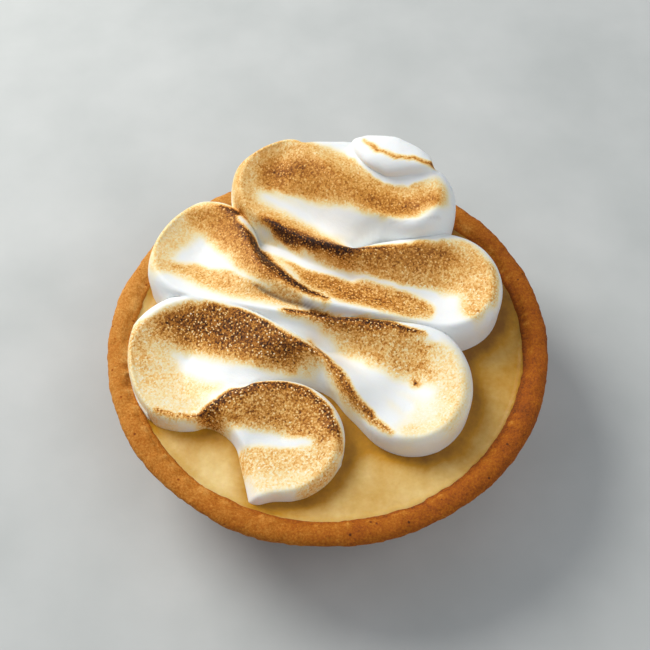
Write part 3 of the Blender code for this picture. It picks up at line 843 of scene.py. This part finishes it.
# Brush strokes laid over one another: strength, softness on the left and right, and the
# x, y and radius along it. A strength of 0 is a white valley.
TOAST_STROKES = (
    # Furthest limb, from its left lobe to its right one, with its darkest parts.
    (0.38, 3.0, 3.4, ((-15.5, 22.6, 2.3), (-14.6, 27.8, 3.7), (-10.0, 31.3, 4.5), (-4.3, 30.4, 4.3),
                      (0.9, 28.1, 4.3), (6.1, 25.0, 4.3), (11.3, 22.4, 4.3), (15.8, 21.2, 4.0),
                      (20.5, 21.9, 2.3))),
    (0.80, 5.0, 5.0, ((-10.0, 29.6, 1.4), (-4.3, 27.8, 2.3), (1.7, 25.2, 1.6))),
    (0.58, 4.0, 4.0, ((-11.3, 27.0, 1.0), (-3.5, 26.1, 2.4), (5.2, 23.5, 2.4), (13.9, 20.3, 1.9))),
    (0.66, 4.0, 3.4, ((7.0, 21.9, 0.9), (11.3, 19.8, 1.6), (15.7, 19.7, 1.5), (19.8, 21.0, 0.9))),
    # Its left lobe's lower part, down to the burnt crest.
    (0.42, 3.4, 2.0, ((-15.1, 22.6, 2.1), (-12.3, 20.2, 2.8), (-8.0, 17.7, 3.3), (-3.5, 15.7, 3.1),
                      (1.6, 13.7, 1.9))),
    (0.64, 4.0, 2.0, ((-10.9, 17.7, 0.8), (-6.1, 15.6, 1.5), (-0.4, 13.6, 1.3))),
    (0.97, 2.2, 1.4, ((-11.7, 19.3, 0.3), (-7.7, 16.4, 1.0), (-3.0, 13.9, 1.2), (0.4, 12.5, 1.3),
                      (4.3, 11.7, 1.4), (8.7, 11.2, 1.3), (13.5, 11.6, 1.1), (17.4, 12.6, 0.8),
                      (21.3, 13.7, 0.3))),
    # Second limb and the right lobe.
    (0.40, 2.4, 3.0, ((13.9, 8.3, 3.2), (19.1, 9.6, 4.1), (23.9, 10.0, 4.7), (27.1, 7.7, 4.3),
                      (27.7, 4.2, 3.3), (26.1, 0.9, 2.2))),
    (0.49, 2.0, 3.4, ((-0.9, 11.7, 0.3), (3.5, 9.6, 1.0), (8.7, 8.3, 1.9), (13.9, 8.5, 2.8),
                      (19.1, 9.7, 3.0), (23.3, 10.6, 1.9))),
    (0.66, 2.0, 3.8, ((3.5, 10.4, 0.7), (8.7, 10.3, 1.2), (13.9, 10.8, 1.7), (20.9, 11.7, 1.6))),
    # Third limb's right part, a band under the valley.
    (0.54, 2.0, 2.6, ((-8.5, 14.3, 0.7), (-5.9, 11.5, 1.4), (-2.4, 8.3, 2.2), (1.7, 5.9, 2.8),
                      (7.0, 4.1, 3.0), (12.2, 2.6, 2.9), (17.0, 1.5, 2.1))),
    (0.66, 3.0, 3.6, ((-2.6, 7.7, 1.0), (5.2, 4.3, 1.6), (12.5, 2.6, 1.0))),
    # Third limb's left part and its lobe.
    (0.28, 3.8, 3.0, ((-30.4, 12.0, 2.1), (-30.0, 17.0, 3.2), (-26.8, 21.2, 3.7),
                      (-22.2, 22.6, 2.6))),
    (0.44, 3.4, 4.0, ((-23.8, 22.1, 1.9), (-21.4, 22.1, 3.1), (-17.6, 20.0, 3.8),
                      (-14.6, 15.7, 3.7), (-12.0, 11.3, 3.3), (-9.6, 7.8, 2.4), (-6.3, 4.9, 1.2))),
    (0.60, 2.6, 4.6, ((-24.2, 22.1, 1.0), (-19.3, 20.5, 2.4), (-16.3, 16.3, 2.5),
                      (-13.5, 12.0, 2.3), (-10.0, 8.0, 1.3))),
    (0.97, 1.2, 3.0, ((-19.5, 23.7, 0.3), (-16.3, 21.6, 0.9), (-14.1, 17.7, 1.3),
                      (-11.9, 13.3, 1.3), (-9.6, 9.6, 1.2), (-6.5, 6.4, 1.1), (-3.5, 4.3, 1.0),
                      (-0.4, 2.6, 0.6))),
    (0.42, 2.0, 3.4, ((-28.0, 11.7, 1.2), (-23.5, 10.3, 2.2), (-19.1, 8.2, 2.4), (-14.8, 6.4, 2.3),
                      (-10.4, 4.7, 1.7), (-5.2, 2.6, 0.9))),
    (0.60, 1.6, 1.6, ((-6.1, 0.9, 0.3), (-2.2, 0.2, 0.6), (0.2, -0.2, 0.4))),
    # Fourth limb and the lower right lobe, with one burnt spot.
    (0.46, 1.4, 3.8, ((0.0, -1.6, 0.5), (4.3, -3.7, 1.7), (8.7, -5.4, 3.0), (13.0, -7.1, 3.7),
                      (17.9, -8.9, 3.3))),
    (0.92, 0.9, 2.6, ((-7.4, 1.2, 0.3), (-2.6, 0.2, 0.9), (1.7, -1.0, 1.1), (7.0, -2.0, 1.1),
                      (12.2, -2.5, 0.8), (17.4, -4.0, 0.3))),
    (0.25, 4.0, 4.0, ((20.3, -8.3, 2.4), (21.7, -13.9, 2.8), (19.7, -19.5, 2.8), (13.5, -21.7, 1.7))),
    (0.12, 4.0, 4.0, ((12.2, -15.7, 1.7), (16.5, -18.3, 2.6))),
    (0.58, 2.0, 2.0, ((14.9, -11.9, 0.5), (15.2, -12.1, 0.5))),
    (0.95, 0.9, 0.9, ((15.0, -12.0, 0.3), (15.1, -12.1, 0.3))),
    # Fifth limb and the lower left lobe.
    (0.56, 2.2, 4.0, ((-31.7, -1.9, 2.3), (-27.3, 0.3, 3.1), (-21.7, -0.5, 3.8), (-16.5, -2.8, 4.1),
                      (-11.3, -5.0, 3.7), (-6.1, -6.5, 2.5), (-2.4, -7.5, 1.1))),
    (0.80, 3.0, 4.6, ((-28.3, 1.0, 0.8), (-21.7, 0.2, 2.5), (-16.5, -2.4, 2.9), (-11.3, -4.9, 2.3),
                      (-6.5, -6.4, 1.3))),
    (0.90, 0.9, 2.0, ((-21.3, 3.1, 0.1), (-14.8, 0.7, 0.5), (-10.4, -1.7, 0.5), (-5.2, -5.4, 0.5),
                      (-1.7, -7.7, 0.3))),
    (0.21, 4.0, 2.8, ((-34.3, -3.5, 2.4), (-34.8, -8.7, 3.7), (-32.2, -12.9, 4.0),
                      (-27.0, -14.6, 3.5), (-22.2, -15.1, 1.6))),
    (0.38, 4.0, 4.0, ((-33.0, -1.7, 2.1), (-32.0, -6.1, 2.3), (-30.4, -9.7, 1.6))),
    (0.26, 3.4, 3.4, ((-29.7, -4.3, 2.1), (-28.3, -9.6, 2.6), (-24.3, -11.8, 2.3),
                      (-19.6, -12.2, 1.0))),
    (0.76, 1.6, 1.6, ((-3.0, -3.9, 0.3), (-0.9, -7.0, 0.7), (1.7, -11.3, 0.8), (4.3, -15.7, 0.8),
                      (7.4, -19.1, 0.7), (10.4, -21.6, 0.3))),
    # Sixth limb and the front lobe.
    (0.57, 1.8, 3.0, ((-20.2, -17.4, 1.4), (-17.0, -16.5, 2.6), (-12.2, -16.2, 3.7),
                      (-7.4, -16.3, 4.0), (-2.9, -18.4, 3.5), (-0.3, -21.9, 2.2))),
    (0.88, 0.9, 3.0, ((-29.7, -15.7, 0.1), (-26.1, -16.9, 0.2), (-22.2, -17.0, 0.4),
                      (-19.1, -15.7, 0.8), (-16.7, -13.7, 1.0), (-13.9, -13.0, 1.0),
                      (-8.7, -12.4, 1.0), (-4.3, -13.0, 0.9), (-0.9, -15.9, 0.8), (0.9, -20.2, 0.8),
                      (1.8, -24.0, 0.5))),
    (0.34, 2.6, 2.8, ((0.7, -23.5, 1.6), (-0.3, -27.7, 1.9), (-4.2, -31.3, 1.6))),
    (0.36, 1.8, 3.4, ((-15.2, -25.2, 2.1), (-11.3, -25.7, 2.9), (-7.0, -25.9, 3.0),
                      (-2.3, -25.2, 2.1))),
    (0.24, 3.0, 3.0, ((-11.7, -29.2, 1.6), (-5.6, -29.4, 1.7))),
    # The white valleys.
    (0.00, 1.4, 1.8, ((-9.1, 25.7, 0.0), (-5.2, 23.7, 0.3), (-0.9, 21.3, 0.5), (3.5, 19.0, 0.9),
                      (8.7, 17.0, 1.0), (13.9, 16.0, 0.9), (20.0, 15.7, 0.9))),
    (0.00, 1.0, 1.2, ((-15.7, 20.7, 0.7), (-10.9, 16.3, 1.0), (-6.5, 12.9, 1.0), (-2.6, 10.6, 0.8),
                      (1.3, 9.4, 0.5), (8.7, 7.3, 0.4), (13.9, 5.6, 0.5), (19.8, 4.9, 0.6),
                      (21.0, 2.6, 0.5), (20.9, -0.4, 0.3))),
    (0.00, 1.4, 1.0, ((-24.5, 15.3, 0.1), (-21.3, 13.5, 0.2), (-17.4, 10.6, 0.3), (-13.9, 8.2, 0.3),
                      (-10.4, 5.7, 0.1))),
    (0.00, 1.6, 1.6, ((-0.4, -3.5, 0.3), (2.6, -6.5, 0.4), (6.1, -9.6, 0.7), (10.0, -12.9, 1.0),
                      (13.2, -16.5, 1.3))),
    (0.00, 1.6, 1.6, ((-25.7, -5.9, 0.1), (-21.7, -7.5, 0.3), (-17.2, -8.9, 0.5),
                      (-10.4, -9.7, 0.7), (-5.2, -9.5, 0.7), (-1.3, -11.3, 0.6), (0.9, -15.7, 0.6))),
    (0.00, 1.4, 0.9, ((-17.2, -20.3, 0.2), (-13.0, -21.0, 0.4), (-7.8, -21.7, 0.5),
                      (-3.1, -22.4, 0.3))),
    # The fold at the top: its white face, toasted ridge and burnt tip.
    (0.00, 0.7, 0.8, ((5.6, 31.8, 1.0), (8.7, 28.9, 1.6), (12.4, 26.4, 1.9), (15.7, 25.5, 1.7),
                      (18.3, 25.6, 1.0))),
    (0.64, 1.5, 0.9, ((7.7, 33.0, 0.2), (9.7, 29.9, 0.4), (13.0, 28.3, 0.4), (16.4, 27.7, 0.4),
                      (18.7, 27.0, 0.4), (19.9, 26.7, 0.5))),
    (0.96, 0.9, 0.9, ((19.7, 27.0, 0.3), (20.5, 26.9, 0.3))),
)

# Painted shade in folds where two limbs cross, in the same columns.
CREASE_SHADE_STROKES = (
    (0.85, 0.7, 0.4, ((-13.3, 6.8, 0.02), (-11.5, 5.7, 0.25), (-9.4, 4.5, 0.3), (-7.4, 3.4, 0.3),
                      (-4.0, 2.0, 0.2), (-1.2, 0.9, 0.02))),
    (0.22, 1.6, 0.4, ((-12.0, 6.4, 0.3), (-9.0, 5.0, 0.7), (-6.0, 3.4, 0.6), (-2.5, 1.9, 0.2))),
    (0.30, 0.7, 0.7, ((12.0, 16.9, 0.02), (17.0, 16.4, 0.1), (21.0, 17.4, 0.05))),
)


def make_meringue():
    """The meringue. Returns how near each corner of its grid is to the ground it covers, which lays
    the painted shadow on the curd.
    """
    points, kept, ribbon = meringue_surface()
    faces = grid_faces(FIELD_STEPS + 1, FIELD_STEPS + 1)
    faces = faces[kept[faces].any(axis=1)]
    shades = {"toast": toasting(points, ribbon), "crease_shade": crease_shading(points)}
    shades["coarse"] = COARSE + COARSER * ease(-points[:, 1], *COARSE_BETWEEN)
    look = meringue_material()
    add_mesh("meringue_look", points, faces, shades, look, "meringue")
    return smoothed(kept.astype(float), round(2 * (SHADOW_SPREAD / CELL) ** 2))


# ---- Camera, lights and floor ----


def add_camera():
    tilt = math.radians(CAMERA_TILT)
    roll = math.radians(CAMERA_ROLL)
    back = Vector((0, -math.cos(tilt), math.sin(tilt)))
    level = Vector((1, 0, 0))
    upward = level.cross(-back)
    right = level * math.cos(roll) + upward * math.sin(roll)
    above = upward * math.cos(roll) - level * math.sin(roll)
    camera = bpy.data.cameras.new("camera")
    camera.sensor_width = CAMERA_SENSOR
    camera.lens = CAMERA_LENS
    camera.clip_start = 0.01
    item = bpy.data.objects.new("camera", camera)
    bpy.context.scene.collection.objects.link(item)
    matrix = Matrix((right, above, back)).transposed().to_4x4()
    matrix.translation = Vector(CAMERA_TARGET) + back * CAMERA_DISTANCE
    item.matrix_world = matrix
    bpy.context.scene.camera = item


def add_light(name, place, size, power, colour):
    """A round, soft light that points at the tart's middle."""
    light = bpy.data.lights.new(name, "AREA")
    light.shape = "DISK"
    light.size = size
    light.energy = power
    light.color = colour
    item = bpy.data.objects.new(name, light)
    item.location = place
    way = Vector(LIT_PLACE) - item.location
    item.rotation_euler = way.to_track_quat("-Z", "Y").to_euler()
    bpy.context.scene.collection.objects.link(item)


def add_sky():
    world = bpy.data.worlds.new("studio")
    world.use_nodes = True
    background = world.node_tree.nodes["Background"]
    background.inputs["Color"].default_value = SKY_COLOUR
    background.inputs["Strength"].default_value = SKY_STRENGTH
    bpy.context.scene.world = world


def add_floor():
    corners = [(x * FLOOR_HALF, y * FLOOR_HALF, 0) for x, y in ((-1, -1), (1, -1), (1, 1), (-1, 1))]
    mesh = bpy.data.meshes.new("floor")
    mesh.from_pydata(corners, [], [(0, 1, 2, 3)])
    mesh.materials.append(floor_material())
    floor = bpy.data.objects.new("floor", mesh)
    bpy.context.scene.collection.objects.link(floor)


def main():
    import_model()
    make_crust()
    foot = make_meringue()
    make_curd(foot)
    bpy.context.scene.view_settings.view_transform = "Standard"
    add_sky()
    add_light("window", *WINDOW)
    add_light("fill", *FILL)
    add_floor()
    add_camera()


main()
